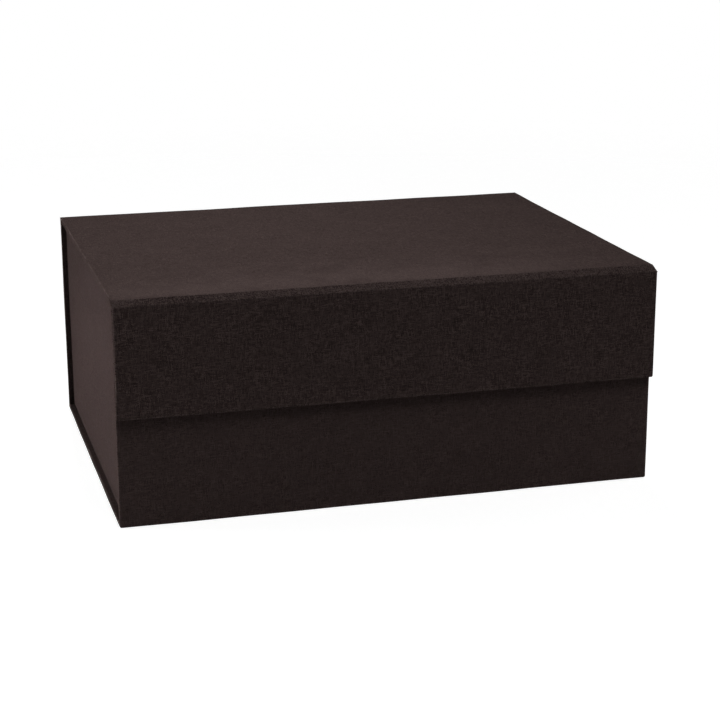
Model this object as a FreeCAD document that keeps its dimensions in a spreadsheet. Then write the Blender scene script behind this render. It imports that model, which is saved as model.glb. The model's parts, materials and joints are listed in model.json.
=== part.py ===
import FreeCAD, Part
import os
import re
import Sketcher

# A gift box with a magnetic flap. One covered strip of greyboard panels, front wall, base, back wall, lid
# and flap, folds round two side walls that stand on the base, set in from the strip's edges.
# Millimetres, +Z up, front at -Y, origin on the floor under the middle of the whole box.

driving_sizes = [
    ("box_width", 240.0, "across the strip, from edge to edge"),
    ("body_depth", 180.0, "front wall's face to back wall's face"),
    ("box_height", 99.0, "floor to lid's top"),
    ("board", 2.0, "greyboard"),
    ("cloth", 0.3, "covering cloth"),
    ("lining", 0.2, "lining paper"),
    ("side_inset", 2.4, "strip's edge in to a side wall's face"),
    ("lid_gap", 0.3, "wall tops up to the lid's lining"),
    ("flap_drop", 50.3, "lid's top down to the flap's lower edge"),
    ("flap_gap", 1.5, "front wall's face out to the flap's lining"),
    ("hinge_back", 5.4, "flap's face back to the lid board's front edge"),
    ("hinge_drop", 2.1, "lid's top down to the flap board's top edge"),
    ("hinge_gap", 0.2, "lid board's back edge to the hinge cloth behind it"),
    ("turn_in", 15.0, "cloth turned in over a board's edge"),
    ("lining_margin", 3.0, "cloth left showing beside a lining"),
    ("magnet_diameter", 10.0, "flap magnets and the plates that they catch"),
    ("magnet_skin", 0.5, "board left between a magnet and the cloth"),
    ("magnet_spacing", 150.0, "between the two magnets' centres"),
    ("magnet_margin", 1.5, "turned-in cloth to a magnet's edge"),
    ("plate_thickness", 1.0, "steel catch plate"),
    ("pocket_gap", 0.1, "round a magnet or a plate in its pocket"),
    ("tab_reach", 16.0, "corner tab's width past the side wall"),
    ("tab_end", 6.0, "corner tab's ends in from the wall's ends"),
    ("tape", 0.1, "double-sided tape"),
    ("tape_margin", 2.0, "tape's edges in from its tab's edges"),
    ("foot_leg", 12.0, "each leg of a foot strip"),
    ("foot_end", 4.0, "foot strip's ends in from the wall's ends"),
]

# Faces and levels that follow from the sizes. An "inside" is a covered board's inner face, before its
# lining, and a "lined" face is the lining's.
derived_places = [
    ("shell", "board + cloth"),
    ("panel", "shell + lining"),
    ("half_width", "box_width / 2"),
    ("back_face", "(body_depth + flap_gap + panel) / 2"),
    ("flap_face", "-back_face"),
    ("front_face", "back_face - body_depth"),
    ("front_inside", "front_face + shell"),
    ("front_lined", "front_inside + lining"),
    ("back_inside", "back_face - shell"),
    ("back_lined", "back_inside - lining"),
    ("flap_inside", "flap_face + shell"),
    ("lid_inside", "box_height - shell"),
    ("lid_lined", "lid_inside - lining"),
    ("lid_front", "flap_face + hinge_back"),
    ("lid_back", "back_face - cloth - hinge_gap"),
    ("wall_top", "lid_lined - lid_gap"),
    ("back_top", "wall_top - lining"),
    ("flap_top", "box_height - hinge_drop"),
    ("flap_low", "box_height - flap_drop"),
    ("side_face", "half_width - side_inset"),
    ("side_inside", "side_face - shell"),
    ("side_lined", "side_inside - lining"),
    ("side_front", "front_lined + tape + cloth"),
    ("side_back", "back_lined - tape - cloth"),
    ("magnet_level", "flap_low + cloth + turn_in + magnet_margin + magnet_diameter / 2"),
]

doc = FreeCAD.newDocument("gift_box")
owners = {}
nodes = {}


def bound(words):
    # Each named value in an expression becomes a reference to the sheet that holds it.
    return re.sub(r"[a-z_]+", lambda found: owners.get(found.group(), "") + found.group(), words)


def fill_sheets():
    sizes = doc.addObject("Spreadsheet::Sheet", "Sizes")
    for row, (alias, value, note) in enumerate(driving_sizes, start=1):
        sizes.set(f"A{row}", note)
        sizes.set(f"B{row}", str(value))
        sizes.setAlias(f"B{row}", alias)
        owners[alias] = "Sizes."
    places = doc.addObject("Spreadsheet::Sheet", "Places")
    for row, (alias, formula) in enumerate(derived_places, start=1):
        places.set(f"B{row}", "=" + bound(formula))
        places.setAlias(f"B{row}", alias)
    doc.recompute()
    for alias, formula in derived_places:
        owners[alias] = "Places."


def node(label, piece):
    piece.Label = label
    nodes[label] = piece
    return piece


def block(name, x, y, z):
    box = doc.addObject("Part::Box", name)
    for size, axis, (low, high) in zip(("Length", "Width", "Height"), "xyz", (x, y, z)):
        box.setExpression(size, bound(f"({high}) - ({low})"))
        box.setExpression(f"Placement.Base.{axis}", bound(low))
    return box


def cut(name, base, tool):
    result = doc.addObject("Part::Cut", name)
    result.Base = base
    result.Tool = tool
    result.Refine = True
    return result


def group(name, pieces):
    result = doc.addObject("Part::Compound", name)
    result.Links = pieces
    return result


def covered_panel(name, spans, outside, edges, pockets=None):
    # A board and the cloth round it, together filling the block that spans gives; outside is the clothed
    # face. At a turned edge the cloth wraps the edge and lies turn_in wide on the inner face, sunk flush
    # into the board. At a wrapped edge it only wraps. Any other edge is a fold, where the board ends bare.
    insets = {"turned": " + turn_in", "wrapped": ""}
    plate = {}
    core = {}
    for axis, (low, high) in spans.items():
        if axis == outside[1]:
            plate[axis] = (f"{low} + cloth", f"{high} - cloth")
            core[axis] = (f"{high} - cloth", high) if outside[0] == "-" else (low, f"{low} + cloth")
            continue
        wraps = ["cloth" if sign + axis in edges else "0" for sign in "-+"]
        turns = [insets.get(edges.get(sign + axis), "") for sign in "-+"]
        plate[axis] = (f"{low} + {wraps[0]}", f"{high} - {wraps[1]}")
        core[axis] = (f"{low} + ({wraps[0]}{turns[0]})", f"{high} - ({wraps[1]}{turns[1]})")
    blank = doc.addObject("Part::Fuse", f"{name}_blank")
    blank.Base = block(f"{name}_plate", **plate)
    blank.Tool = block(f"{name}_core", **core)
    blank.Refine = True
    node(f"{name}_cover", cut(f"{name}_cover", block(f"{name}_block", **spans), blank))
    node(f"{name}_board", cut(f"{name}_board", blank, pockets) if pockets else blank)


def discs(name, radius, low, high):
    # Two discs with their axes along Y, at the magnets' places, between two faces.
    pair = []
    for side, sign in (("left", "-"), ("right", "")):
        disc = doc.addObject("Part::Cylinder", f"{name}_{side}")
        disc.Placement = FreeCAD.Placement(
            FreeCAD.Vector(), FreeCAD.Rotation(FreeCAD.Vector(1, 0, 0), -90)
        )
        disc.setExpression("Radius", bound(radius))
        disc.setExpression("Height", bound(f"({high}) - ({low})"))
        disc.setExpression("Placement.Base.x", bound(f"{sign}magnet_spacing / 2"))
        disc.setExpression("Placement.Base.y", bound(low))
        disc.setExpression("Placement.Base.z", bound("magnet_level"))
        pair.append(disc)
    return group(name, pair)


def strip(name, plane, corners, length, middle=None):
    # A sheet bent along its length: a closed profile of corners on one of the body's own planes, padded to
    # both sides of it. middle shifts the body along Y.
    body = doc.addObject("PartDesign::Body", name)
    sketch = body.newObject("Sketcher::SketchObject", f"{name}_profile")
    support = next(f for f in body.Origin.OriginFeatures if f.Role == plane)
    sketch.AttachmentSupport = [(support, "")]
    sketch.MapMode = "FlatFace"
    points = [FreeCAD.Vector(*(float(doc.Sizes.evalExpression(bound(c))) for c in pair)) for pair in corners]
    after = [(k + 1) % len(points) for k in range(len(points))]
    for k, point in enumerate(points):
        sketch.addGeometry(Part.LineSegment(point, points[after[k]]))
    for k in range(len(points)):
        sketch.addConstraint(Sketcher.Constraint("Coincident", k, 2, after[k], 1))
    for k, pair in enumerate(corners):
        for kind, value, words in zip(("DistanceX", "DistanceY"), points[k], pair):
            fixed = sketch.addConstraint(Sketcher.Constraint(kind, -1, 1, k, 1, value))
            sketch.setExpression(f"Constraints[{fixed}]", bound(words))
    pad = body.newObject("PartDesign::Pad", f"{name}_pad")
    pad.Profile = sketch
    pad.SideType = "Symmetric"
    pad.setExpression("Length", bound(length))
    if middle:
        body.setExpression("Placement.Base.y", bound(middle))
    return node(name, body)


def mirrored(low, high, sign):
    # A range on X, for the right side as given and for the left side turned round.
    return (low, high) if sign == "+" else (f"-({high})", f"-({low})")


def sunk_discs(name, low, high):
    # A pair of discs, and the slightly wider pockets that they lie in.
    node(name, discs(name, "magnet_diameter / 2", low, high))
    return discs(f"{name}_pockets", "magnet_diameter / 2 + pocket_gap", low, high)


def make_strip_panels():
    full = ("-half_width", "half_width")
    sides = {"-x": "turned", "+x": "turned"}
    covered_panel("base", {"x": full, "y": ("front_inside", "back_inside"), "z": ("0", "shell")}, "-z", sides)
    covered_panel(
        "front_wall",
        {"x": full, "y": ("front_face", "front_inside"), "z": ("0", "wall_top")},
        "-y",
        {**sides, "+z": "turned", "-z": "wrapped"},
        sunk_discs("catch_plates", "front_face + cloth", "front_face + cloth + plate_thickness"),
    )
    covered_panel(
        "back_wall",
        {"x": full, "y": ("back_inside", "back_face"), "z": ("0", "back_top")},
        "+y",
        {**sides, "-z": "wrapped"},
    )
    covered_panel(
        "lid", {"x": full, "y": ("lid_front", "lid_back"), "z": ("lid_inside", "box_height")}, "+z", sides
    )
    covered_panel(
        "flap",
        {"x": full, "y": ("flap_face", "flap_inside"), "z": ("flap_low", "flap_top")},
        "-y",
        {**sides, "-z": "turned"},
        sunk_discs("flap_magnets", "flap_face + cloth + magnet_skin", "flap_inside"),
    )


def make_strip_linings():
    between = ("-side_face", "side_face")
    margined = ("-half_width + lining_margin", "half_width - lining_margin")
    linings = {
        "base": (between, ("front_inside", "back_inside"), ("shell", "panel")),
        "front_wall": (between, ("front_inside", "front_lined"), ("panel", "wall_top - lining_margin")),
        "back_wall": (between, ("back_lined", "back_inside"), ("panel", "back_top")),
        "lid": (margined, ("lid_front", "lid_back"), ("lid_lined", "lid_inside")),
        "flap": (margined, ("flap_inside", "flap_inside + lining"), ("flap_low + lining_margin", "flap_top")),
    }
    for name, spans in linings.items():
        node(f"{name}_lining", block(f"{name}_lining", *spans))


def make_hinges():
    # Behind the lid the cloth climbs past the lid board's edge, and the lining lies folded on the back
    # wall's top. At the flap the cloth slants across the gap between the two boards.
    node(
        "lid_hinge_cloth",
        block(
            "lid_hinge_cloth",
            ("-half_width", "half_width"),
            ("back_face - cloth", "back_face"),
            ("back_top", "box_height"),
        ),
    )
    node(
        "lid_hinge_lining",
        block(
            "lid_hinge_lining",
            ("-side_face", "side_face"),
            ("back_lined", "back_face - cloth"),
            ("back_top", "wall_top"),
        ),
    )
    strip(
        "flap_hinge_cloth",
        "YZ_Plane",
        [
            ("lid_front", "box_height"),
            ("flap_face", "flap_top"),
            ("flap_face + cloth", "flap_top"),
            ("lid_front", "box_height - cloth"),
        ],
        "box_width",
    )
    strip(
        "flap_hinge_lining",
        "YZ_Plane",
        [
            ("lid_front", "lid_inside"),
            ("flap_inside", "flap_top + lining"),
            ("flap_inside", "flap_top"),
            ("flap_inside + lining", "flap_top"),
            ("lid_front", "lid_lined"),
        ],
        "box_width - 2 * lining_margin",
    )


def make_side_wall(side, sign):
    span = mirrored("side_inside", "side_face", sign)
    covered_panel(
        f"{side}_wall",
        {"x": span, "y": ("side_front", "side_back"), "z": ("panel", "wall_top")},
        sign + "x",
        {edge: "turned" for edge in ("-y", "+y", "-z", "+z")},
    )
    node(
        f"{side}_wall_lining",
        block(
            f"{side}_wall_lining",
            mirrored("side_lined", "side_inside", sign),
            ("side_front", "side_back"),
            ("panel", "wall_top - lining_margin"),
        ),
    )
    lined = "side_lined" if sign == "+" else "-side_lined"
    inward = "-" if sign == "+" else "+"
    strip(
        f"{side}_wall_foot_strip",
        "XZ_Plane",
        [
            (lined, "panel"),
            (f"{lined} {inward} foot_leg", "panel"),
            (f"{lined} {inward} foot_leg", "panel + lining"),
            (f"{lined} {inward} lining", "panel + lining"),
            (f"{lined} {inward} lining", "panel + foot_leg"),
            (lined, "panel + foot_leg"),
        ],
        "side_back - side_front - 2 * foot_end",
        "(side_front + side_back) / 2",
    )


def make_corners():
    # At each corner a cloth tab runs from behind the side wall's end along the next wall's lining, and a
    # strip of tape holds it there.
    tapes = []
    ends = {
        "front": (("front_lined + tape", "side_front"), ("front_lined", "front_lined + tape")),
        "back": (("side_back", "back_lined - tape"), ("back_lined - tape", "back_lined")),
    }
    for side, sign in (("left", "-"), ("right", "+")):
        for end, (tab_span, tape_span) in ends.items():
            corner = f"{side}_{end}"
            node(
                f"{corner}_corner_tab",
                block(
                    f"{corner}_corner_tab",
                    mirrored("side_lined - tab_reach", "side_face", sign),
                    tab_span,
                    ("panel + tab_end", "wall_top - tab_end"),
                ),
            )
            tapes.append(
                block(
                    f"{corner}_tape",
                    mirrored("side_lined - tab_reach + tape_margin", "side_lined - tape_margin", sign),
                    tape_span,
                    ("panel + tab_end + tape_margin", "wall_top - tab_end - tape_margin"),
                )
            )
    node("corner_tapes", group("corner_tapes", tapes))


def write_nodes():
    doc.recompute()
    failed = [o.Name for o in doc.Objects if {"Invalid", "Error"} & set(o.State)]
    failed += [label for label, o in nodes.items() if o.Shape.isNull() or not o.Shape.isValid()]
    if failed:
        raise RuntimeError(f"not built: {failed}")
    os.makedirs("parts", exist_ok=True)
    for label, piece in nodes.items():
        piece.Shape.exportStep(f"parts/{label}.step")
        print(label, len(piece.Shape.Solids), round(piece.Shape.Volume, 2))


fill_sheets()
make_strip_panels()
make_strip_linings()
make_hinges()
make_side_wall("left", "-")
make_side_wall("right", "+")
make_corners()
write_nodes()
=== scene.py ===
import json

import bpy
import numpy as np
from mathutils import Matrix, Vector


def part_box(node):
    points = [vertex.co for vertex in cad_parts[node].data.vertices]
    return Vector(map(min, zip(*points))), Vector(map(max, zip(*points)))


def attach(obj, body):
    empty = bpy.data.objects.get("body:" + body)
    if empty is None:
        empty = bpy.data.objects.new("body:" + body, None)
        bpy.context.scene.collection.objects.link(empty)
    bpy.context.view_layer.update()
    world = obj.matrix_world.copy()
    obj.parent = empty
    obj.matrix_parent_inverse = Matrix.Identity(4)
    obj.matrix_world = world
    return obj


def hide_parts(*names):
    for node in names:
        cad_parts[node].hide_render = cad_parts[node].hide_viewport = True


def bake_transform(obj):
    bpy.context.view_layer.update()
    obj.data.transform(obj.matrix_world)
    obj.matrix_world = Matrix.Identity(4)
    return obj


# Looks of a cloth-covered gift box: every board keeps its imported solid, and the cloth, the paper linings
# and the hinges are made here as thin sheets folded round those boards. Metres, front at -Y.

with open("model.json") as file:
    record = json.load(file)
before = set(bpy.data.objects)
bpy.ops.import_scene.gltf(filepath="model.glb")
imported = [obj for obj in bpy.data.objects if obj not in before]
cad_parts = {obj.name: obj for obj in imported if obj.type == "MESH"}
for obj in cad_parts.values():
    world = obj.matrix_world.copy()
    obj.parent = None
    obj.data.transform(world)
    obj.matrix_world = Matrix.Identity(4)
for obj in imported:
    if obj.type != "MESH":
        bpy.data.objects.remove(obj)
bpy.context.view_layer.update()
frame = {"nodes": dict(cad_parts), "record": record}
mm = 0.001
axisOf = {"x": 0, "y": 1, "z": 2}
# a panel's own directions, across and along, for each way its outer face can look
planeAxes = {"+z": "xy", "-z": "yx", "-y": "xz", "+y": "zx", "+x": "yz", "-x": "zy"}
print("frame loaded:", len(frame["nodes"]), "nodes")


# Shader maths
class Wire:
    # one output in a material's node tree; sums and products of wires and numbers add Math nodes
    def __init__(self, tree, socket=None):
        self.tree = tree
        self.socket = socket

    def add(self, kind, settings=None, sockets=None, out=0):
        node = self.tree.nodes.new(kind)
        for name, value in (settings or {}).items():
            setattr(node, name, value)
        for name, value in (sockets or {}).items():
            if isinstance(value, Wire):
                self.tree.links.new(value.socket, node.inputs[name])
            else:
                node.inputs[name].default_value = value
        return Wire(self.tree, node.outputs[out] if len(node.outputs) else None)

    def math(self, operation, *values):
        return self.add("ShaderNodeMath", {"operation": operation}, dict(enumerate(values)))

    def __add__(self, other):
        return self.math("ADD", self, other)

    def __radd__(self, other):
        return self.math("ADD", other, self)

    def __sub__(self, other):
        return self.math("SUBTRACT", self, other)

    def __rsub__(self, other):
        return self.math("SUBTRACT", other, self)

    def __mul__(self, other):
        return self.math("MULTIPLY", self, other)

    def __rmul__(self, other):
        return self.math("MULTIPLY", other, self)

    def __truediv__(self, other):
        return self.math("DIVIDE", self, other)


def newMaterial(name):
    material = bpy.data.materials.new(name)
    material.use_nodes = True
    material.node_tree.nodes.clear()
    return material, Wire(material.node_tree)


def smoothStep(wire, low, high):
    return wire.add(
        "ShaderNodeMapRange",
        {"interpolation_type": "SMOOTHSTEP"},
        {"Value": wire, "From Min": low, "From Max": high},
    )


def mixColours(wire, factor, dark, light):
    return wire.add("ShaderNodeMix", {"data_type": "RGBA"}, {0: factor, 6: dark, 7: light}, out=2)


def grain(place, size, detail=2.0):
    # noise whose features are size across, one length for each direction of the place
    spread = place.add(
        "ShaderNodeMapping", {}, {"Vector": place, "Scale": tuple(1 / (length * mm) for length in size)}
    )
    return spread.add("ShaderNodeTexNoise", {}, {"Vector": spread, "Scale": 1.0, "Detail": detail})


def finishMaterial(wire, shader):
    surface = wire.add("ShaderNodeBsdfPrincipled", {}, shader)
    wire.add("ShaderNodeOutputMaterial", {}, {"Surface": surface})


# Covering cloth
threadLook = {
    "apart": 7.31,  # step in the noise from one thread to the next
    "uneven": (0.56, 0.68),  # noise where a stretch starts to differ, and where it differs fully
    "thinShare": 0.7,  # what a thin stretch counts for, next to a thick one
}


def threadTone(number, run, shift):
    # 1 where a thread is thick and pale, less than 0 where it is thin and dark and 0 on the rest of its
    # run, with no likeness between neighbouring threads
    spot = number.add("ShaderNodeCombineXYZ", {}, {0: number * threadLook["apart"] + shift, 1: run})
    tone = spot.add(
        "ShaderNodeTexNoise", {"noise_dimensions": "2D"}, {"Vector": spot, "Scale": 1.0, "Detail": 1.0}
    )
    thick = smoothStep(tone, *threadLook["uneven"])
    thin = smoothStep(1 - tone, *threadLook["uneven"])
    return thick - threadLook["thinShare"] * thin


def makeCoverCloth():
    look = {
        "hollowShade": (0.0225, 0.0154, 0.0144, 1),  # painted shade in the hollows between and under the threads
        "thin": (0.0103, 0.0074, 0.0070, 1),  # thin, dark stretches of thread
        "thick": (0.1090, 0.0772, 0.0730, 1),  # thick, pale ones
        "wearAndHighlightColour": (0.1150, 0.0840, 0.0795, 1),  # pale thread where rubbed at edges, also used for painted highlights along the edges and near the lid's front
        "warpPitch": 0.36,  # millimetres, as the other lengths here
        "weftPitch": 0.40,
        "stray": 0.8,  # pitches that a thread wanders off its line
        "wanderAcross": 2.5,
        "wanderAlong": 9,
        "slubLength": 3.2,
        "weftShift": 41.0,  # keeps the two sets of threads unlike
        "cover": 0.5,  # how much an uneven thread hides its neighbours
        "crossover": 0.1,  # softness of the change from one thread on top to the other
        "hollowTop": 0.5,  # height on a thread up to which the hollows' painted shade shows
        "patch": 11,  # from a lively stretch of cloth to the next
        "patchEdge": (0.35, 0.65),
        "calm": 0.65,
        "lively": 0.5,
        "plain": 0.46,  # contrast of the threads on a flat panel
        "parted": 2.4,  # more of it where the cloth is pulled over a bend
        "fullyParted": 0.6,  # pull at which all of that shows
        "mottle": 14,
        "mottleShare": 0.15,
        "closed": 0.93,  # share of crossings with no pinhole
        "opened": 0.27,  # fewer of them by this much where the cloth is pulled over a bend
        "holeEdge": 0.05,
        "holeShare": 0.7,
        "rubSpan": 22,  # from one rubbed stretch of an edge to the next
        "rubEdge": (0.25, 0.6),
        "rubHollow": 0.35,  # wear and painted highlight that show in the hollows, and how much more on the threads
        "rubThread": 0.5,
        "relief": 0.07,
        "reliefStrength": 0.6,
        "slubRelief": 0.4,
        "holeRelief": 0.6,
        "roughness": 0.88,
        "slubShine": 0.07,
        "wornShine": 0.08,
        "sheen": 0.02,
        "sheenRoughness": 0.5,
        "sheenTint": (0.85, 0.62, 0.56, 1),
    }
    material, wire = newMaterial("cover_cloth")
    place = wire.add("ShaderNodeUVMap", {"uv_map": "threads"})
    across = wire.add("ShaderNodeSeparateXYZ", {}, {0: place})
    along = Wire(wire.tree, across.socket.node.outputs[1])
    # the wear attribute holds real rubbing and painted highlights: pale lines along rounded edges and a
    # pale patch near the lid's front
    wear, stretch = (
        wire.add("ShaderNodeAttribute", {"attribute_name": name}, out=2) for name in ("wear", "stretch")
    )
    wear = wear * smoothStep(grain(place, (look["rubSpan"], look["rubSpan"], 1)), *look["rubEdge"])
    # threads stray a little from straight lines
    wide, far = look["wanderAcross"], look["wanderAlong"]
    warp = across / (look["warpPitch"] * mm) + (grain(place, (wide, far, 1)) - 0.5) * look["stray"]
    weft = along / (look["weftPitch"] * mm) + (grain(place, (far, wide, 1)) - 0.5) * look["stray"]
    warpNumber, weftNumber = warp.math("FLOOR", warp), weft.math("FLOOR", weft)
    warpRound = warp.math("SINE", (warp - warpNumber) * np.pi)
    weftRound = weft.math("SINE", (weft - weftNumber) * np.pi)
    # plain weave: a warp thread is on top where its number and the weft's add up to an even one
    warpLift = warpRound * (warp.math("COSINE", (weft + warpNumber - 0.5) * np.pi) * 0.5 + 0.5)
    weftLift = weftRound * (0.5 - warp.math("COSINE", (warp + weftNumber - 0.5) * np.pi) * 0.5)
    height = warp.math("MAXIMUM", warpLift, weftLift)
    # slubs: thick and thin stretches of whichever thread is on top
    warpTone = threadTone(warpNumber, along / (look["slubLength"] * mm), 0.0)
    weftTone = threadTone(weftNumber, across / (look["slubLength"] * mm), look["weftShift"])
    uneven = warp.math("ABSOLUTE", warpTone) - warp.math("ABSOLUTE", weftTone)
    warpLead = warpLift - weftLift + uneven * look["cover"]
    onTop = smoothStep(warpLead, -look["crossover"], look["crossover"])
    patch = smoothStep(grain(place, (look["patch"], look["patch"], 1)), *look["patchEdge"])
    contrast = look["plain"] + look["parted"] * smoothStep(stretch, 0.0, look["fullyParted"])
    contrast = contrast * (look["calm"] + look["lively"] * patch)
    slub = (weftTone + (warpTone - weftTone) * onTop) * contrast
    # pinholes: one drawn number for each crossing. A pinhole is an open spot in the weave, darkened with
    # the hollows' painted shade
    crossing = wire.add("ShaderNodeCombineXYZ", {}, {0: warpNumber, 1: weftNumber})
    drawn = wire.add("ShaderNodeTexWhiteNoise", {"noise_dimensions": "2D"}, {"Vector": crossing})
    edge = look["closed"] - stretch * look["opened"]
    pinhole = smoothStep(drawn, edge, edge + look["holeEdge"])
    mottle = grain(place, (look["mottle"], look["mottle"], 1), detail=3.0)
    tone = 0.5 + slub * 0.5 + (mottle - 0.5) * look["mottleShare"]
    colour = mixColours(wire, tone, look["thin"], look["thick"])
    # painted shade: darker where a thread sinks into the hollows of the weave
    colour = mixColours(wire, smoothStep(height, 0.0, look["hollowTop"]), look["hollowShade"], colour)
    # paler where rubbed and where a highlight is painted
    wearAndHighlightShare = wear * (look["rubHollow"] + look["rubThread"] * height)
    colour = mixColours(wire, wearAndHighlightShare, colour, look["wearAndHighlightColour"])
    # pinholes take the painted shade of the hollows
    colour = mixColours(wire, pinhole * look["holeShare"], colour, look["hollowShade"])
    bump = wire.add(
        "ShaderNodeBump",
        {},
        {
            "Strength": look["reliefStrength"],
            "Distance": look["relief"] * mm,
            "Height": height + slub * look["slubRelief"] - pinhole * look["holeRelief"],
        },
    )
    finishMaterial(
        wire,
        {
            "Base Color": colour,
            "Roughness": look["roughness"] - slub * look["slubShine"] - wear * look["wornShine"],
            "Specular IOR Level": 0.0,
            "Sheen Weight": look["sheen"],
            "Sheen Roughness": look["sheenRoughness"],
            "Sheen Tint": look["sheenTint"],
            "Normal": bump,
        },
    )
    return material


# Paper, board, tape and metal
def makeLiningPaper():
    look = {
        "dark": (0.020, 0.0158, 0.0150, 1),
        "light": (0.034, 0.0272, 0.0260, 1),
        "fibreSize": (0.35, 1.6, 1),  # millimetres
        "cloudSize": (9, 9, 1),
        "toothSize": (0.18, 0.18, 1),
        "fibreShare": 0.6,
        "cloudShare": 0.5,
        "wornShare": 0.5,
        "darker": 0.1,
        "relief": 0.02,
        "reliefStrength": 0.5,
        "fibreRelief": 0.8,
        "cloudRelief": 0.5,
        "roughness": 0.72,
        "toothRoughness": 0.2,
        "specular": 0.08,
    }
    material, wire = newMaterial("lining_paper")
    place = wire.add("ShaderNodeUVMap", {"uv_map": "threads"})
    fibre = grain(place, look["fibreSize"], detail=4.0)
    cloud = grain(place, look["cloudSize"], detail=4.0)
    tooth = grain(place, look["toothSize"])
    wear = wire.add("ShaderNodeAttribute", {"attribute_name": "wear"}, out=2)
    tone = fibre * look["fibreShare"] + cloud * look["cloudShare"] - look["darker"]
    tone = tone + wear * look["wornShare"]
    colour = mixColours(wire, tone, look["dark"], look["light"])
    bump = wire.add(
        "ShaderNodeBump",
        {},
        {
            "Strength": look["reliefStrength"],
            "Distance": look["relief"] * mm,
            "Height": tooth + fibre * look["fibreRelief"] + cloud * look["cloudRelief"],
        },
    )
    finishMaterial(
        wire,
        {
            "Base Color": colour,
            "Roughness": look["roughness"] + tooth * look["toothRoughness"],
            "Specular IOR Level": look["specular"],
            "Normal": bump,
        },
    )
    return material


def makeGreyboard():
    look = {
        "dark": (0.25, 0.225, 0.19, 1),
        "light": (0.40, 0.37, 0.325, 1),
        "fleck": (0.12, 0.105, 0.09, 1),
        "pulpSize": (1.4, 1.4, 1.4),  # millimetres
        "plySize": (30, 30, 0.25),
        "fleckSize": (0.5, 0.9, 0.5),
        "fleckEdge": (0.66, 0.74),
        "pulpShare": 0.7,
        "plyShare": 0.4,
        "darker": 0.05,
        "fleckShare": 0.6,
        "relief": 0.05,
        "reliefStrength": 0.6,
        "roughness": 0.85,
        "pulpRoughness": 0.1,
        "specular": 0.2,
    }
    material, wire = newMaterial("greyboard")
    place = wire.add("ShaderNodeTexCoord", out=3)
    pulp = grain(place, look["pulpSize"], detail=5.0)
    ply = grain(place, look["plySize"])
    fleck = smoothStep(grain(place, look["fleckSize"], detail=1.0), *look["fleckEdge"])
    tone = pulp * look["pulpShare"] + ply * look["plyShare"] - look["darker"]
    colour = mixColours(wire, tone, look["dark"], look["light"])
    colour = mixColours(wire, fleck * look["fleckShare"], colour, look["fleck"])
    bump = wire.add(
        "ShaderNodeBump",
        {},
        {"Strength": look["reliefStrength"], "Distance": look["relief"] * mm, "Height": pulp + ply},
    )
    finishMaterial(
        wire,
        {
            "Base Color": colour,
            "Roughness": look["roughness"] + pulp * look["pulpRoughness"],
            "Specular IOR Level": look["specular"],
            "Normal": bump,
        },
    )
    return material


def makeTapeFilm():
    look = {
        "dark": (0.50, 0.47, 0.40, 1),
        "light": (0.66, 0.64, 0.58, 1),
        "hazeSize": (6, 6, 6),  # millimetres
        "roughness": 0.35,
        "hazeRoughness": 0.25,
        "specular": 0.4,
    }
    material, wire = newMaterial("tape_film")
    place = wire.add("ShaderNodeTexCoord", out=3)
    haze = grain(place, look["hazeSize"], detail=3.0)
    finishMaterial(
        wire,
        {
            "Base Color": mixColours(wire, haze, look["dark"], look["light"]),
            "Roughness": look["roughness"] + haze * look["hazeRoughness"],
            "Specular IOR Level": look["specular"],
        },
    )
    return material


metalLooks = {
    "magnet_nickel": {
        "dark": (0.50, 0.48, 0.44, 1),
        "light": (0.70, 0.68, 0.65, 1),
        "scratchSize": (0.5, 0.5, 0.5),  # millimetres
        "roughness": 0.2,
    },
    "plate_steel": {
        "dark": (0.40, 0.40, 0.41, 1),
        "light": (0.58, 0.58, 0.60, 1),
        "scratchSize": (4.0, 0.12, 0.12),
        "roughness": 0.35,
    },
}
metalGrain = {
    "cloudSize": (3, 3, 3),  # millimetres
    "scratchShare": 0.7,
    "cloudShare": 0.3,
    "relief": 0.01,
    "reliefStrength": 0.3,
    "scratchRoughness": 0.2,
}


def makeMetal(name, look):
    material, wire = newMaterial(name)
    place = wire.add("ShaderNodeTexCoord", out=3)
    scratch = grain(place, look["scratchSize"], detail=3.0)
    cloud = grain(place, metalGrain["cloudSize"], detail=3.0)
    tone = scratch * metalGrain["scratchShare"] + cloud * metalGrain["cloudShare"]
    bump = wire.add(
        "ShaderNodeBump",
        {},
        {
            "Strength": metalGrain["reliefStrength"],
            "Distance": metalGrain["relief"] * mm,
            "Height": scratch,
        },
    )
    finishMaterial(
        wire,
        {
            "Base Color": mixColours(wire, tone, look["dark"], look["light"]),
            "Metallic": 1.0,
            "Roughness": look["roughness"] + scratch * metalGrain["scratchRoughness"],
            "Normal": bump,
        },
    )
    return material


materials = {
    "cover_cloth": makeCoverCloth(),
    "lining_paper": makeLiningPaper(),
    "greyboard": makeGreyboard(),
    "tape_film": makeTapeFilm(),
    **{name: makeMetal(name, look) for name, look in metalLooks.items()},
}
print("materials made:", ", ".join(materials))


# Sheets
handWork = {
    "seed": 11,
    "waves": 14,
    "shortest": 24 * mm,
    "longest": 130 * mm,
    "height": 0.028 * mm,
}


def eased(share):
    # from 0 to 1 on a smooth S
    share = np.clip(share, 0, 1)
    return share * share * (3 - 2 * share)


def handWander(points):
    # A slow wander of the whole object: a sum of sine waves of the place, one vector each, so that
    # sheets that meet are moved alike and stay joined.
    draw = np.random.default_rng(handWork["seed"])
    heading = draw.normal(size=(handWork["waves"], 3))
    heading /= np.linalg.norm(heading, axis=1, keepdims=True)
    wavelength = np.geomspace(handWork["shortest"], handWork["longest"], handWork["waves"])
    lag = draw.uniform(0, 2 * np.pi, handWork["waves"])
    push = draw.normal(size=(handWork["waves"], 3)) * handWork["height"]
    return np.sin(points @ (heading * 2 * np.pi / wavelength[:, None]).T + lag) @ push


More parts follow.
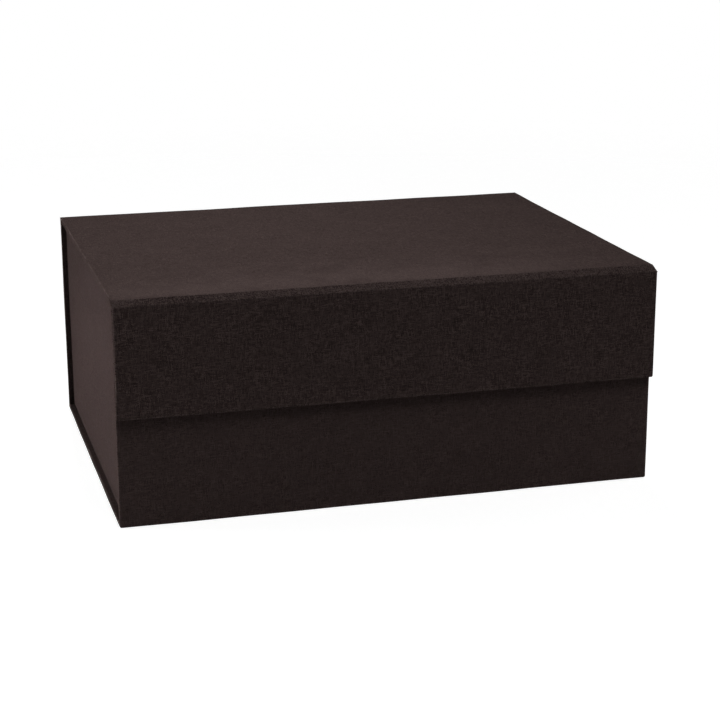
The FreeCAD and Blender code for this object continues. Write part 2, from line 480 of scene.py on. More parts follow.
def makePiece(name, points, faces, threads, marks, thickness, slot, loose):
    # A sheet from its outer points, with its thread coordinates as a UV map and its rubbed places, painted
    # highlights among them, and its stretched places as attributes. It wanders where it is loose and not
    # where it is pressed on a board. Points that no face uses are dropped, and the thickness goes inwards.
    used, renumbered = np.unique(np.concatenate([f.ravel() for f in faces]), return_inverse=True)
    parts = np.split(renumbered.ravel(), np.cumsum([f.size for f in faces])[:-1])
    corners = [part.reshape(f.shape).tolist() for part, f in zip(parts, faces)]
    mesh = bpy.data.meshes.new(name)
    placed = points + handWander(points) * np.reshape(loose, (-1, 1))
    mesh.from_pydata(placed[used], [], [face for group in corners for face in group])
    owner = np.empty(len(mesh.loops), np.int32)
    mesh.loops.foreach_get("vertex_index", owner)
    mesh.uv_layers.new(name="threads").data.foreach_set("uv", threads[used][owner].ravel())
    for mark, level in marks.items():
        values = mesh.attributes.new(mark, "FLOAT", "POINT").data
        values.foreach_set("value", level[used].astype(np.float32))
    mesh.shade_smooth()
    mesh.materials.append(materials[slot])
    piece = bpy.data.objects.new(name, mesh)
    bpy.context.scene.collection.objects.link(piece)
    solid = piece.modifiers.new("thickness", "SOLIDIFY")
    solid.thickness = thickness
    solid.offset = -1
    piece.modifiers.new("flat faces", "WEIGHTED_NORMAL").keep_sharp = True
    return piece


def gridFaces(rows, columns):
    # the four corners of each cell of a grid whose points are numbered row by row
    number = np.arange(rows * columns).reshape(rows, columns)
    return np.stack(
        [number[:-1, :-1], number[:-1, 1:], number[1:, 1:], number[1:, :-1]], axis=-1
    ).reshape(-1, 4)


# Cloth round a board
clothFold = {
    "thickness": 0.27 * mm,
    "outerRadius": 0.4 * mm,  # over the board's outer edge
    "innerRadius": 0.4 * mm,
    "cornerRadius": 0.75 * mm,  # in the panel's plane
    "mitreRadius": 0.06 * mm,
    "support": 0.4 * mm,  # flat rows beside a round
    "turnIn": 15 * mm,
    "proud": 0.08 * mm,  # turned-in cloth above the board's inner face
    "rub": 1.0,  # wear along the outer edge, partly a painted highlight on the round edge
    "innerRub": 0.3,
    "rubReach": 0.35 * mm,
    "pull": 0.4,  # how far the weave opens over the outer edge
    "steps": 6,
    "cornerSteps": 4,
    "gridStep": 4 * mm,
}


def foldRows(panelThickness):
    # Rows of the fold from the face outwards, as inset from the panel's edge and depth below its face: a
    # quarter round over the edge, a straight run down it, a quarter round under it, then flat to the cut
    # edge. The third value is the cloth used up past the edge.
    outer, inner, support = clothFold["outerRadius"], clothFold["innerRadius"], clothFold["support"]
    swing = np.linspace(0, np.pi / 2, clothFold["steps"])
    deep = panelThickness + clothFold["proud"]
    flat = np.array([inner + support, clothFold["turnIn"] - support, clothFold["turnIn"]])
    inset = np.concatenate(
        [[outer + support], outer * (1 - np.sin(swing)), inner * (1 - np.cos(swing)), flat]
    )
    depth = np.concatenate(
        [[0], outer * (1 - np.cos(swing)), deep - inner * (1 - np.sin(swing)), deep + 0 * flat]
    )
    used = np.cumsum(np.hypot(np.diff(inset, prepend=inset[0]), np.diff(depth, prepend=0))) - inset[0]
    return inset, depth, used


def wrapPanel(name, panel):
    # The face is a grid. Round it run the fold's rows, each a rectangle's outline inset by the row's
    # value, with round corners. A turned edge has all rows, a wrapped one stops at the inner face and a
    # fold has none.
    low, high = (np.array(corner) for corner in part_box(f"{name}_cover"))
    sign, normal = panel["outside"]
    across, along = planeAxes[panel["outside"]]
    a, b, n = axisOf[across], axisOf[along], axisOf[normal]
    width, length = high[a] - low[a], high[b] - low[b]
    inset, depth, used = foldRows(high[n] - low[n])
    rows, steps, turns = len(inset), clothFold["steps"], clothFold["cornerSteps"]

    edges = ("-" + along, "+" + across, "+" + along, "-" + across)
    kinds = [panel["edges"].get(edge, "fold") for edge in edges]
    late = np.arange(rows) > steps
    shapes = {"fold": 0 * inset, "wrapped": np.where(late, 0, inset), "turned": inset}
    south, east, north, west = (shapes[kind] for kind in kinds)
    corner = np.maximum(clothFold["cornerRadius"] - inset, clothFold["mitreRadius"])
    corner[0] = 0
    rounds = [corner * (kind != "fold") for kind in kinds]
    qLow, pHigh = south + rounds[0], width - east - rounds[1]
    qHigh, pLow = length - north - rounds[2], west + rounds[3]

    ps = np.linspace(0, 1, int(np.ceil(width / clothFold["gridStep"])) + 1)
    qs = np.linspace(0, 1, int(np.ceil(length / clothFold["gridStep"])) + 1)
    arc = np.arange(1, turns + 1) / (turns + 1)
    cosArc, sinArc = np.cos(arc * np.pi / 2), np.sin(arc * np.pi / 2)

    def over(low, high, shares):
        return low[:, None] + (high - low)[:, None] * shares

    def bent(centre, reach):
        return centre[:, None] + corner[:, None] * reach

    p = np.hstack([
        over(pLow, pHigh, ps), bent(pHigh, sinArc),
        over(width - east, width - east, qs), bent(pHigh, cosArc),
        over(pHigh, pLow, ps), bent(pLow, -sinArc),
        over(west, west, qs), bent(pLow, -cosArc),
    ])
    q = np.hstack([
        over(south, south, ps), bent(qLow, -cosArc),
        over(qLow, qHigh, qs), bent(qHigh, sinArc),
        over(length - north, length - north, ps), bent(qHigh, cosArc),
        over(qHigh, qLow, qs), bent(qLow, -sinArc),
    ])
    u = np.hstack([
        over(pLow, pHigh, ps), over(pHigh, width + used, arc),
        over(width + used, width + used, qs), over(width + used, pHigh, arc),
        over(pHigh, pLow, ps), over(pLow, -used, arc),
        over(-used, -used, qs), over(-used, pLow, arc),
    ])
    v = np.hstack([
        over(-used, -used, ps), over(-used, qLow, arc),
        over(qLow, qHigh, qs), over(qHigh, length + used, arc),
        over(length + used, length + used, ps), over(length + used, qHigh, arc),
        over(qHigh, qLow, qs), over(qLow, -used, arc),
    ])

    # how many rows each stretch of the outline keeps
    sideRows = {"fold": 0, "wrapped": 2 * steps, "turned": rows - 1}
    keptRows, stretch = [], []
    for k, kind in enumerate(kinds):
        after = kinds[(k + 1) % 4]
        both = {kind, after}
        cornerRows = rows - 1 if both == {"turned"} else steps + 1
        keptRows += [sideRows[kind], 0 if "fold" in both else cornerRows]
        stretch += [(len(ps), len(qs))[k % 2] - 1, turns + 1]
    kept = np.arange(rows - 1)[:, None] < np.repeat(keptRows, stretch)

    columns = p.shape[1]
    face = np.arange(len(ps) * len(qs)).reshape(len(qs), len(ps))
    first = np.concatenate([
        face[0], np.repeat(face[0, -1], turns), face[:, -1], np.repeat(face[-1, -1], turns),
        face[-1, ::-1], np.repeat(face[-1, 0], turns), face[::-1, 0], np.repeat(face[0, 0], turns),
    ])
    ring = np.vstack([first, face.size + np.arange((rows - 1) * columns).reshape(rows - 1, columns)])
    here, beyond = ring[:-1], ring[1:]
    hereNext, beyondNext = np.roll(here, -1, axis=1), np.roll(beyond, -1, axis=1)
    quads = np.stack([here, beyond, beyondNext, hereNext], axis=-1)
    pinched = here == hereNext
    faces = [gridFaces(len(qs), len(ps)), quads[kept & ~pinched], quads[kept & pinched][:, :3]]

    faceP, faceQ = np.meshgrid(pLow[0] + (pHigh - pLow)[0] * ps, qLow[0] + (qHigh - qLow)[0] * qs)
    deep = np.repeat(np.minimum(depth, high[n] - low[n])[:, None], columns, axis=1)
    turnedColumns = np.repeat(np.array(keptRows) == rows - 1, stretch)
    turnedColumns |= np.roll(turnedColumns, 1)
    deep[:, turnedColumns] = depth[:, None]
    points = np.zeros((face.size + (rows - 1) * columns, 3))
    points[:, a] = low[a] + np.concatenate([faceP.ravel(), p[1:].ravel()])
    points[:, b] = low[b] + np.concatenate([faceQ.ravel(), q[1:].ravel()])
    down = np.concatenate([np.zeros(face.size), deep[1:].ravel()])
    points[:, n] = high[n] - down if sign == "+" else low[n] + down
    threads = np.column_stack([
        np.concatenate([faceP.ravel(), u[1:].ravel()]), np.concatenate([faceQ.ravel(), v[1:].ravel()])
    ])
    if panel.get("turnWeave"):
        threads = threads[:, ::-1]
    # paler about half way over each of the two rounds, partly from real rubbing and partly a painted
    # highlight
    arris, innerArris = (
        np.exp(-((used - used[k]) / clothFold["rubReach"]) ** 2) for k in (steps // 2, steps + steps // 2)
    )
    rub = clothFold["rub"] * arris + clothFold["innerRub"] * innerArris
    # painted highlight on the lid: paler cloth towards its front edge, carried in the wear attribute
    paintedFrontLight = np.zeros(face.size)
    if "paintedFrontLight" in panel:
        litPatch = panel["paintedFrontLight"]
        nearEdge = eased(1 - faceQ.ravel() / litPatch["reach"])
        offMiddle = np.abs(faceP.ravel() / width - litPatch["middle"]) / litPatch["span"]
        nearMiddle = eased((1 - offMiddle) * litPatch["slope"])
        paintedFrontLight = litPatch["wear"] * nearEdge * nearMiddle
    marks = {
        "wear": np.concatenate([paintedFrontLight, np.repeat(rub[1:], columns)]),
        "stretch": panel.get("pull", 0)
        + np.concatenate([0 * paintedFrontLight, np.repeat(clothFold["pull"] * arris[1:], columns)]),
    }
    loose = 1 - eased(down / (high[n] - low[n]))
    cloth = makePiece(
        f"{name}_cloth", points, faces, threads + panel["cutFrom"], marks, clothFold["thickness"],
        "cover_cloth", loose,
    )
    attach(cloth, panel["body"])
    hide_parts(f"{name}_cover")
    # the cut: turn-ins past each turned or wrapped edge, less the mitred corners
    past = {"fold": 0, "wrapped": used[2 * steps], "turned": used[-1]}
    reach = [past[kind] for kind in kinds]
    flat = (width + reach[1] + reach[3], length + reach[0] + reach[2])
    mitres = sum(2 * reach[k] * reach[(k + 1) % 4] for k in range(4))
    flat[0] * flat[1] - mitres


sideEdges = {"-x": "turned", "+x": "turned"}
wallEdges = {edge: "turned" for edge in ("-y", "+y", "-z", "+z")}
# cutFrom is where on the roll a piece is cut; the lid, the flap and the front wall are cut in line
panels = {
    "base": {
        "outside": "-z", "body": "box", "edges": sideEdges, "cutFrom": (0.11, 0.30), "turnWeave": True,
    },
    "front_wall": {
        "outside": "-y", "body": "box", "edges": {**sideEdges, "+z": "turned", "-z": "wrapped"},
        "cutFrom": (0.30, 0.02),
    },
    "back_wall": {
        "outside": "+y", "body": "box", "edges": {**sideEdges, "-z": "wrapped"}, "cutFrom": (0.71, 0.13),
        "turnWeave": True,
    },
    "left_wall": {
        "outside": "-x", "body": "box", "edges": wallEdges, "cutFrom": (0.52, 0.41), "turnWeave": True,
    },
    "right_wall": {"outside": "+x", "body": "box", "edges": wallEdges, "cutFrom": (0.93, 0.67)},
    "lid": {
        "outside": "+z", "body": "lid", "edges": sideEdges, "cutFrom": (0.30, 0.55),
        # painted highlight: the cloth paler towards the front edge, standing in for light falling there.
        # Reach from the front edge, how much, which share of that edge and how fast it fades towards the
        # ends of that share
        "paintedFrontLight": {"reach": 60 * mm, "wear": 0.5, "middle": 0.4, "span": 0.62, "slope": 1.6},
    },
    "flap": {
        "outside": "-y", "body": "flap", "edges": {**sideEdges, "-z": "turned"}, "cutFrom": (0.30, 0.85),
        "magnets": "flap_magnets", "pull": 0.12,  # its weave is a little more open
    },
}
for panelName, panel in panels.items():
    wrapPanel(panelName, panel)
print("cloth folded round:", ", ".join(panels))

# Paper linings
paper = {
    "gauge": 0.09 * mm,
    "rise": 0.11 * mm,  # its face above the board
    "step": 0.08 * mm,  # higher again over the turned-in cloth
    "slope": 1.2 * mm,
    "magnetRise": 0.03 * mm,
    "magnetReach": 7 * mm,
    "rub": 0.3,  # wear on a step
    "rubReach": 0.5,  # slopes
    "loose": 0.2,
    "gridStep": 5 * mm,
    "busyCuts": 15,
    "finest": 0.1 * mm,
}


def closeCuts(low, high, busy):
    # Even cuts from low to high, with more of them beside each busy place, on a fine ruler.
    cuts = [np.linspace(low, high, int(np.ceil((high - low) / paper["gridStep"])) + 1)]
    cuts += [place + reach * np.linspace(-1, 1, paper["busyCuts"]) for place, reach in busy]
    cuts = np.unique((np.concatenate(cuts) / paper["finest"]).round()) * paper["finest"]
    return cuts[(cuts > low - paper["finest"] / 2) & (cuts < high + paper["finest"] / 2)]


def linePanel(name, panel):
    # A flat grid over the panel's inner face that steps up, softly, over the cloth turned in from each
    # edge and, on the flap, over the two magnets.
    low, high = (np.array(corner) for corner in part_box(f"{name}_lining"))
    edgeLow, edgeHigh = (np.array(corner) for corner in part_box(f"{name}_cover"))
    inwards = "+" if panel["outside"][0] == "-" else "-"
    normal = panel["outside"][1]
    a, b = (axisOf[axis] for axis in planeAxes[inwards + normal])
    n = axisOf[normal]
    turned = []
    for (side, axis), kind in panel["edges"].items():
        edge = (edgeLow if side == "-" else edgeHigh)[axisOf[axis]]
        step = edge + clothFold["turnIn"] * (1 if side == "-" else -1)
        turned += [(axisOf[axis], edge, step)] * (kind == "turned")
    busy = [(axis, (step, paper["slope"])) for axis, edge, step in turned]
    magnets = []
    if panel.get("magnets"):
        magnetLow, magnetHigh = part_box(panel["magnets"])
        radius = (magnetHigh.z - magnetLow.z) / 2
        magnets = [(magnetLow.z + radius, x) for x in (magnetLow.x + radius, magnetHigh.x - radius)]
        for spot in magnets:
            busy += [(axis, (place, paper["magnetReach"])) for axis, place in zip((a, b), spot)]
    cuts = [closeCuts(low[k], high[k], [span for axis, span in busy if axis == k]) for k in (a, b)]
    p, q = np.meshgrid(*cuts)
    raised, wear = np.zeros_like(p), np.zeros_like(p)
    for axis, edge, step in turned:
        place = p if axis == a else q
        past = (clothFold["turnIn"] - np.abs(place - edge)) / paper["slope"]
        raised = np.maximum(raised, eased(past + 0.5))
        wear = np.maximum(wear, paper["rub"] * np.exp(-((past / paper["rubReach"]) ** 2)))
    height = paper["rise"] + paper["step"] * raised
    for spot in magnets:
        away = np.hypot(p - spot[0], q - spot[1])
        height += paper["magnetRise"] * eased((radius - away) / paper["slope"] + 0.5)
    points = np.zeros((p.size, 3))
    points[:, a], points[:, b] = p.ravel(), q.ravel()
    points[:, n] = low[n] + height.ravel() if inwards == "+" else high[n] - height.ravel()
    threads = points[:, [a, b]] + panel["cutFrom"]
    sheet = makePiece(
        f"{name}_paper", points, [gridFaces(*p.shape)], threads, {"wear": wear.ravel()}, paper["gauge"],
        "lining_paper", paper["loose"],
    )
    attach(sheet, panel["body"])
    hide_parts(f"{name}_lining")


for panelName, panel in panels.items():
    linePanel(panelName, panel)
print("paper laid inside:", ", ".join(panels))

# Bands of cloth and paper along a bend
band = {
    "clothGauge": 0.22 * mm,
    "hemRadius": 0.24 * mm,
    "hemTurnIn": 2.3 * mm,
    "hemSteps": 7,
    "pulledWear": 0.8,
    "bendWear": 3,
    "mostWear": 0.8,
    "paperGauge": 0.07 * mm,
    "paperOff": 0.08 * mm,  # paper off the board or cloth that it lies on
    "paperRadius": 0.07 * mm,
    "acrossGap": 4 * mm,
    "pathGap": 0.3 * mm,
    "arcStep": 12,  # degrees
}


def bentPath(corners, radius, gap=band["pathGap"]):
    # Straight runs joined by arcs of one radius, with points no further apart than the gap on a run and
    # the arc step on an arc.
    corners = np.array(corners, float)
    runEnds, arcs = [corners[0]], []
    for before, here, after in zip(corners[:-2], corners[1:-1], corners[2:]):
        back, on = ((other - here) / np.linalg.norm(other - here) for other in (before, after))
        half = np.arccos(back @ on) / 2
        centre = here + (back + on) / np.linalg.norm(back + on) * radius / np.sin(half)
        first, last = (here + way * radius / np.tan(half) - centre for way in (back, on))
        turn = np.pi - 2 * half
        share = np.linspace(0, 1, int(np.ceil(np.degrees(turn) / band["arcStep"])) + 2)[1:-1, None]
        swung = np.sin((1 - share) * turn) * first + np.sin(share * turn) * last
        arcs.append(centre + swung / np.sin(turn))
        runEnds += [centre + first, centre + last]
    runEnds.append(corners[-1])
    stretches = []
    for k, (start, stop) in enumerate(zip(runEnds[::2], runEnds[1::2])):
        count = int(np.ceil(np.linalg.norm(stop - start) / gap)) + 1
        stretches += [start + (stop - start) * np.linspace(0, 1, count)[:, None], *arcs[k:k + 1]]
    return np.vstack(stretches)


def carrySheet(name, path, carried, spots, drops, gauge, slot, cutFrom, loose, pull=0.0):
    # A path in a plane, carried square to it. Each spot along the carried axis has the whole path, sunk
    # by the spot's drop towards the path's right. Thread coordinates are the lengths along both, bends
    # are rubbed, and a pulled sheet is worn all over.
    c = axisOf[carried]
    g, h = (c + 1) % 3, (c + 2) % 3
    heading = np.gradient(path, axis=0)
    heading /= np.linalg.norm(heading, axis=1, keepdims=True)
    points = np.zeros((len(path), len(spots), 3))
    points[..., c] = spots
    points[..., g] = path[:, :1] + heading[:, 1:] * drops
    points[..., h] = path[:, 1:] - heading[:, :1] * drops
    over = np.cumsum(np.hypot(np.diff(spots, prepend=spots[0]), np.diff(drops, prepend=drops[0])))
    run = np.cumsum(np.linalg.norm(np.diff(path, axis=0, prepend=path[:1]), axis=1))
    threads = np.stack(np.meshgrid(over, run), axis=-1).reshape(-1, 2) + cutFrom
    bend = np.linalg.norm(np.gradient(heading, axis=0), axis=1)
    wear = np.clip(band["bendWear"] * bend, band["pulledWear"] * pull, band["mostWear"])
    wear = np.repeat(wear, len(spots))
    marks = {"wear": wear, "stretch": np.full_like(wear, pull)}
    faces = [gridFaces(*points.shape[:2])]
    return makePiece(name, points.reshape(-1, 3), faces, threads, marks, gauge, slot, loose)


def evenSpots(low, high):
    # equal steps from low to high, none longer than the gap
    return np.linspace(low, high, int(np.ceil((high - low) / band["acrossGap"])) + 1)


def hemmedSpots(half):
    # Across a cloth band: a turned-in layer, a half round at the edge, the face, and the same again.
    radius = band["hemRadius"]
    swing = np.linspace(0, np.pi, band["hemSteps"])
    side = np.append(half - radius * (1 - np.sin(swing)), half - band["hemTurnIn"])
    sideDrop = np.append(radius * (1 - np.cos(swing)), 2 * radius)
    face = evenSpots(-half + radius, half - radius)[1:-1]
    return np.concatenate([-side[::-1], face, side]), np.concatenate([sideDrop[::-1], 0 * face, sideDrop])


def clothBand(name, path, cutFrom):
    # hemmed, and as wide as the lid
    spots, drops = hemmedSpots(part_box("lid_cover")[1].x)
    return carrySheet(
        name, path, "x", spots, drops, band["clothGauge"], "cover_cloth", cutFrom, loose=1.0, pull=1.0
    )


def paperBand(name, path, node, cutFrom):
    # plain, and as wide as the lining that it stands for
    low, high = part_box(node)
    spots = evenSpots(low.x, high.x)
    return carrySheet(
        name, path, "x", spots, 0 * spots, band["paperGauge"], "lining_paper", cutFrom, paper["loose"]
    )


# Hinge along the back
lidHinge = {
    "overlap": 1.2 * mm,
    "edgeClear": 0.03 * mm,
    "topClear": 0.45 * mm,
    "roundShare": 0.98,
    "seam": 0.15 * mm,  # cloth next to the lid that doesn't bend
    "clothCut": (0.30, 0.74),
    "lowerCut": (0.02, 0.02),
    "upperCut": (0.02, 0.06),
}


def makeLidHinge():
    # Outside, cloth climbs the back and rounds over on to the lid. Inside, one paper laps over the back
    # wall's top edge and goes up behind that cloth, and another covers the lid board's back edge.
    clothLow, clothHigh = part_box("lid_hinge_cloth")
    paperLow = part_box("lid_hinge_lining")[0]
    lidLow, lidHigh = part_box("lid_cover")
    bendRadius = clothHigh.y - lidHigh.y
    corners = [(lidHigh.y, lidHigh.z), (clothHigh.y, lidHigh.z), (clothHigh.y, clothLow.z)]
    path = bentPath(corners, bendRadius * lidHinge["roundShare"])
    cloth = clothBand("lid_hinge_strip", path, lidHinge["clothCut"])
    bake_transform(cloth)
    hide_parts("lid_hinge_cloth")

    level = paperLow.z + band["paperOff"] + band["paperGauge"]
    behind = clothLow.y - lidHinge["edgeClear"]
    top = lidHigh.z - lidHinge["topClear"]
    wallSide = paperLow.y - lidHinge["edgeClear"]
    corners = [(wallSide, level - lidHinge["overlap"]), (wallSide, level), (behind, level), (behind, top)]
    path = bentPath(corners, band["paperRadius"])
    lower = paperBand("lid_hinge_paper", path, "lid_hinge_lining", lidHinge["lowerCut"])
    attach(lower, "box")
    edge = lidHigh.y + lidHinge["edgeClear"] + band["paperGauge"]
    corners = [(edge, top), (edge, lidLow.z - band["paperOff"])]
    path = bentPath(corners, band["paperRadius"])
    upper = paperBand("lid_back_edge_paper", path, "lid_hinge_lining", lidHinge["upperCut"])
    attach(upper, "lid")
    for strip in (lower, upper):
        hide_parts("lid_hinge_lining")


# Hinge along the front
flapHinge = {
    "upperCrease": 0.15 * mm,  # in front of the lid board
    "lowerCrease": 0.25 * mm,  # above the flap board
    "creaseRadius": 0.35 * mm,
    "paperDrop": 0.66 * mm,  # paper below the cloth, at the lid
    "paperReach": 1.63 * mm,  # where the paper meets the flap's top, behind the flap's face
    "bendStart": 0.1 * mm,
    "bendEnd": 1.5 * mm,
    "clothCut": (0.30, 0.795),
    "paperCut": (0.02, 0.10),
}


def makeFlapHinge():
    # Outside, cloth slants from the lid down to the flap. Inside, one paper covers the lid board's front
    # edge, the back of that cloth and the flap board's top edge. They bend between two lines that lie
    # down and forward, at 45 degrees, from the lid board's lower front edge.
    lidLow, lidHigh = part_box("lid_cover")
    flapLow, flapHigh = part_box("flap_cover")
    corners = [
        (flapLow.y, flapHigh.z),
        (flapLow.y, flapHigh.z + flapHinge["lowerCrease"]),
        (lidLow.y - flapHinge["upperCrease"], lidHigh.z),
        (lidLow.y, lidHigh.z),
    ]
    path = bentPath(corners, flapHinge["creaseRadius"])
    cloth = clothBand("flap_hinge_strip", path, flapHinge["clothCut"])
    level = flapHigh.z + band["paperOff"] + band["paperGauge"]
    edge = lidLow.y - band["paperOff"] - band["paperGauge"]
    corners = [
        (edge, lidLow.z - band["paperOff"]),
        (edge, lidHigh.z - flapHinge["paperDrop"]),
        (flapLow.y + flapHinge["paperReach"], level),
        (flapHigh.y, level),
    ]
    path = bentPath(corners, band["paperRadius"])
    inner = paperBand("flap_hinge_paper", path, "flap_hinge_lining", flapHinge["paperCut"])
    for strip in (cloth, inner):
        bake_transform(strip)
    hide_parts("flap_hinge_cloth")
    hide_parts("flap_hinge_lining")


# Cloth pressed over the boards' bare ends in the hinges, beside the paper
jointEnd = {
    "lift": 0.13 * mm,
    "gauge": 0.1 * mm,
    "clear": 0.05 * mm,
    "step": 0.5 * mm,
    "cutFrom": (0.5, 0.7),
}
jointEnds = {
    "lid_front": {"board": "lid_board", "outside": "-y", "body": "lid", "hinge": "flap_hinge"},
    "flap_top": {"board": "flap_board", "outside": "+z", "body": "flap", "hinge": "flap_hinge"},
    "lid_back": {"board": "lid_board", "outside": "+y", "body": "lid", "hinge": "lid_hinge"},
    "back_wall_top": {"board": "back_wall_board", "outside": "+z", "body": "box", "hinge": "lid_hinge"},
}


def coverJointEnd(name, end):
    # Two flat grids on the end of a board, from the paper's edge out to the board's corner on each side.
    low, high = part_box(end["board"])
    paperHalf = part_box(f"{end['hinge']}_lining")[1].x + jointEnd["clear"]
    sign, normal = end["outside"]
    n = axisOf[normal]
    for side, spans in (("left", (low.x, -paperHalf)), ("right", (paperHalf, high.x))):
        cuts = []
        for axis in planeAxes[end["outside"]]:
            start, stop = spans if axis == "x" else (low[axisOf[axis]], high[axisOf[axis]])
            cuts.append(np.linspace(start, stop, int(np.ceil((stop - start) / jointEnd["step"])) + 1))
        p, q = np.meshgrid(*cuts)
        points = np.zeros((p.size, 3))
        for axis, place in zip(planeAxes[end["outside"]], (p, q)):
            points[:, axisOf[axis]] = place.ravel()
        points[:, n] = high[n] + jointEnd["lift"] if sign == "+" else low[n] - jointEnd["lift"]
        threads = np.column_stack([p.ravel(), q.ravel()]) + jointEnd["cutFrom"]
        cap = makePiece(
            f"{name}_{side}_joint_cloth", points, [gridFaces(*p.shape)], threads, {}, jointEnd["gauge"],
            "cover_cloth", loose=0.0,
        )
        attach(cap, end["body"])
        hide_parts(f"{end['hinge']}_cloth")


makeLidHinge()
makeFlapHinge()
for endName, end in jointEnds.items():
    coverJointEnd(endName, end)
print("hinges made")

# Joints of the side walls
slotOf = {row["node"]: row["material_slot"] for row in frame["record"]["subparts"]}
footStrip = {
    "gauge": 0.15 * mm,
    "fold": 0.8 * mm,
    "off": 0.17 * mm,
    "pathGap": 2 * mm,
    "cutFrom": (0.02, 0.14),
}
cornerTab = {
    "gauge": 0.24 * mm,
    "round": 2.5 * mm,
    "rub": 0.4,  # wear at the free end
    "rubReach": 0.8 * mm,
    "rounding": 7,
    "across": 6,
    "rows": 25,
    "cutFrom": (0.5, 0.9),
}


def makeFootStrip(side, wallSide):
    # An L laid into the corner between the base and a side wall, carried from front to back.
    node = f"{side}_wall_foot_strip"
    low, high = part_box(node)
    level = low.z + footStrip["off"]
    if wallSide > 0:
        face = high.x - footStrip["off"]
        corners = [(high.z, face), (level, face), (level, low.x)]
    else:
        face = low.x + footStrip["off"]
        corners = [(level, high.x), (level, face), (high.z, face)]
    path = bentPath(corners, footStrip["fold"], footStrip["pathGap"])
    spots = evenSpots(low.y, high.y)
    strip = carrySheet(
        f"{side}_foot_strip", path, "y", spots, 0 * spots, footStrip["gauge"], slotOf[node],
        footStrip["cutFrom"], paper["loose"],
    )
    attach(strip, "box")
    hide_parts(node)


def makeCornerTab(side, end):
    # A flat grid from the side wall to the tab's free end, where its half height follows a quarter round
    # at the two corners.
    node = f"{side}_{end}_corner_tab"
    low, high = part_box(node)
    length, half, corner = high.x - low.x, (high.z - low.z) / 2, cornerTab["round"]
    swing = np.linspace(0, np.pi / 2, cornerTab["rounding"])
    reach = np.append(
        np.linspace(0, length - corner, cornerTab["across"])[:-1], length - corner * (1 - np.sin(swing))
    )
    halfHeight = half - np.append(np.zeros(cornerTab["across"] - 1), corner * (1 - np.cos(swing)))
    share = np.linspace(-1, 1, cornerTab["rows"])[:, None]
    points = np.zeros((len(share), len(reach), 3))
    points[..., 0] = low.x + reach if side == "left" else high.x - reach
    points[..., 1] = high.y if end == "front" else low.y
    points[..., 2] = low.z + half + share * halfHeight
    faces = gridFaces(*points.shape[:2])
    if (side == "left") == (end == "front"):
        faces = faces[:, ::-1]
    points = points.reshape(-1, 3)
    threads = points[:, [0, 2]] + cornerTab["cutFrom"]
    nearEnd = eased(1 - (length - reach) / cornerTab["rubReach"])
    marks = {"wear": np.tile(cornerTab["rub"] * nearEnd, len(share))}
    tab = makePiece(
        f"{node}_cloth", points, [faces], threads, marks, cornerTab["gauge"], slotOf[node], paper["loose"]
    )
    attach(tab, "box")
    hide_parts(node)


for side, wallSide in (("left", -1), ("right", 1)):
    makeFootStrip(side, wallSide)
    for end in ("front", "back"):
        makeCornerTab(side, end)
print("side walls joined")

# Boards, tapes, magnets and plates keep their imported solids
for node, slot in slotOf.items():
    for place in frame["nodes"][node].material_slots:
        place.material = materials[slot]

# Stage
floorLook = {
    "size": 3.0,
    "drop": 0.45 * mm,
    "colour": (0.76, 0.76, 0.76, 1),  # as it lights the box
    "seen": (0.35, 0.35, 0.35, 1),  # its shaded part as the eye gets it, on top of the lift
    "lift": 0.90,
    "fade": (0.55, 1.1),  # metres from the middle where it melts into the white behind
}
worldLook = {"ambient": 0.01}
boxAim, lidAim = (0, 0, 0.05), (-0.06, -0.1, 0.1)
wallAim, frontAim = (-0.118, -0.03, 0.045), (0, -0.09, -0.02)
lamps = {
    "backSoftbox": {"place": (-0.6, 1.2, 1.0), "aim": boxAim, "size": (0.8, 0.8), "power": 2.2},
    "frontSoftbox": {"place": (0.25, -0.75, 1.15), "aim": boxAim, "size": (0.6, 0.6), "power": 4.75},
    "leftSoftbox": {"place": (-1.45, 0.4, 0.32), "aim": boxAim, "size": (0.6, 0.5), "power": 9.2},
    "rightSoftbox": {"place": (1.45, 0.4, 0.22), "aim": boxAim, "size": (0.6, 0.4), "power": 5.0},
    # gridded, each for a soft pool on one face; the spread is the beam's angle in degrees
    "lidSpot": {
        "place": (0.1, 1.3, 0.75), "aim": lidAim, "size": (0.25, 0.25), "power": 0.49, "spread": 24,
    },
    "wallSpot": {
        "place": (-1.1, 0.3, 0.22), "aim": wallAim, "size": (0.2, 0.08), "power": 0.05, "spread": 12,
    },
    "frontSpot": {
        "place": (0.1, -1.15, 0.2), "aim": frontAim, "size": (0.3, 0.08), "power": 0.007, "spread": 9,
    },
}
photoView = {
    "place": (-0.21676, -0.82921, 0.28325),
    "turn": 15.260,  # degrees from +Y towards +X
    "tilt": 15.795,
    "roll": -0.177,
    "lens": 93.355,
    "sensor": 36.0,
}


def seenByEye(wire):
    # 1 for camera, mirror and glass rays, 0 for the light that falls on things
    path = wire.add("ShaderNodeLightPath").socket.node.outputs
    rays = ("Is Camera Ray", "Is Glossy Ray", "Is Transmission Ray")
    eye, mirror, glass = (Wire(wire.tree, path[ray]) for ray in rays)
    return wire.math("MAXIMUM", eye, wire.math("MAXIMUM", mirror, glass))


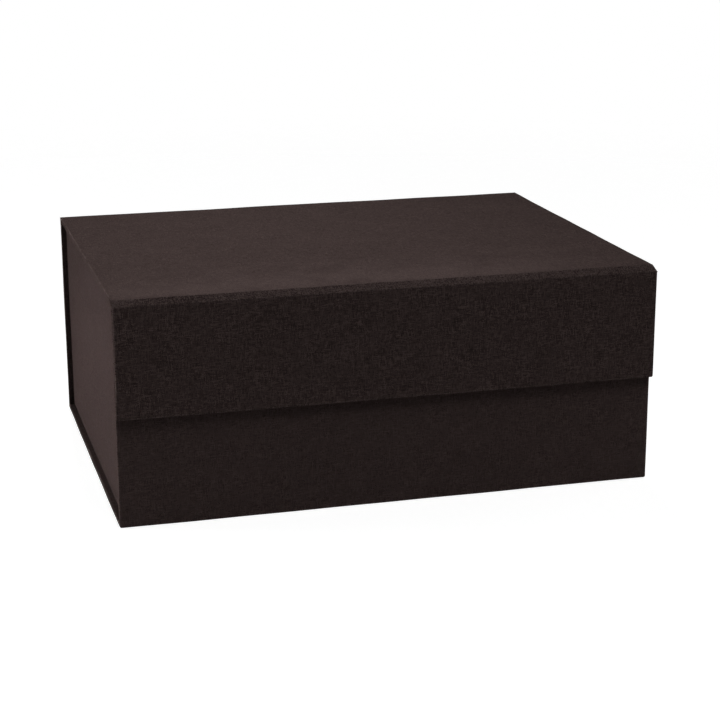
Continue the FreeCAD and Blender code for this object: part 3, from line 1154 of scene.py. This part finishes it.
def makeFloor():
    # a flat square that clears towards its rim and can't be seen from below
    half = floorLook["size"] / 2
    mesh = bpy.data.meshes.new("floor")
    corners = [(-half, -half), (half, -half), (half, half), (-half, half)]
    mesh.from_pydata([(x, y, -floorLook["drop"]) for x, y in corners], [], [(0, 1, 2, 3)])
    material, wire = newMaterial("floor_white")
    eye = seenByEye(wire)
    colour = mixColours(wire, eye, floorLook["colour"], floorLook["seen"])
    lit = wire.add("ShaderNodeBsdfDiffuse", {}, {"Color": colour})
    lift = wire.add("ShaderNodeEmission", {}, {"Strength": eye * floorLook["lift"]})
    both = wire.add("ShaderNodeAddShader", {}, {0: lit, 1: lift})
    clear = wire.add("ShaderNodeBsdfTransparent")
    under = Wire(wire.tree, wire.add("ShaderNodeNewGeometry").socket.node.outputs["Backfacing"])
    place = wire.add("ShaderNodeTexCoord", out=3)
    away = wire.add("ShaderNodeVectorMath", {"operation": "LENGTH"}, {0: place}, out=1)
    faded = wire.math("MAXIMUM", under, smoothStep(away, *floorLook["fade"]))
    shader = wire.add("ShaderNodeMixShader", {}, {0: faded, 1: both, 2: clear})
    wire.add("ShaderNodeOutputMaterial", {}, {"Surface": shader})
    mesh.materials.append(material)
    floor = bpy.data.objects.new("floor", mesh)
    bpy.context.scene.collection.objects.link(floor)


def makeWorld():
    world = bpy.data.worlds.new("studio")
    bpy.context.scene.world = world
    world.use_nodes = True
    world.node_tree.nodes.clear()
    wire = Wire(world.node_tree)
    eye = seenByEye(wire)
    strength = eye + (1 - eye) * worldLook["ambient"]
    light = wire.add("ShaderNodeBackground", {}, {"Color": (1, 1, 1, 1), "Strength": strength})
    wire.add("ShaderNodeOutputWorld", {}, {"Surface": light})


def makeLamps():
    for name, lamp in lamps.items():
        data = bpy.data.lights.new(name, "AREA")
        data.shape = "RECTANGLE"
        data.size, data.size_y = lamp["size"]
        data.energy = lamp["power"]
        data.spread = np.radians(lamp.get("spread", 180))
        softbox = bpy.data.objects.new(name, data)
        bpy.context.scene.collection.objects.link(softbox)
        away = np.array(lamp["place"]) - np.array(lamp["aim"])
        lean = np.arctan2(np.hypot(*away[:2]), away[2])
        softbox.location = lamp["place"]
        softbox.rotation_euler = (lean, 0, np.arctan2(away[0], -away[1]))


def makeCamera():
    data = bpy.data.cameras.new("photo_camera")
    data.lens = photoView["lens"]
    data.sensor_width = photoView["sensor"]
    camera = bpy.data.objects.new("photo_camera", data)
    bpy.context.scene.collection.objects.link(camera)
    turn, tilt, roll = np.radians([photoView[k] for k in ("turn", "tilt", "roll")])
    camera.matrix_world = (
        Matrix.Translation(photoView["place"])
        @ Matrix.Rotation(-turn, 4, "Z")
        @ Matrix.Rotation(np.pi / 2 - tilt, 4, "X")
        @ Matrix.Rotation(roll, 4, "Z")
    )
    bpy.context.scene.camera = camera


makeFloor()
makeWorld()
makeLamps()
makeCamera()
bpy.context.scene.view_settings.view_transform = "Standard"
print("stage set")
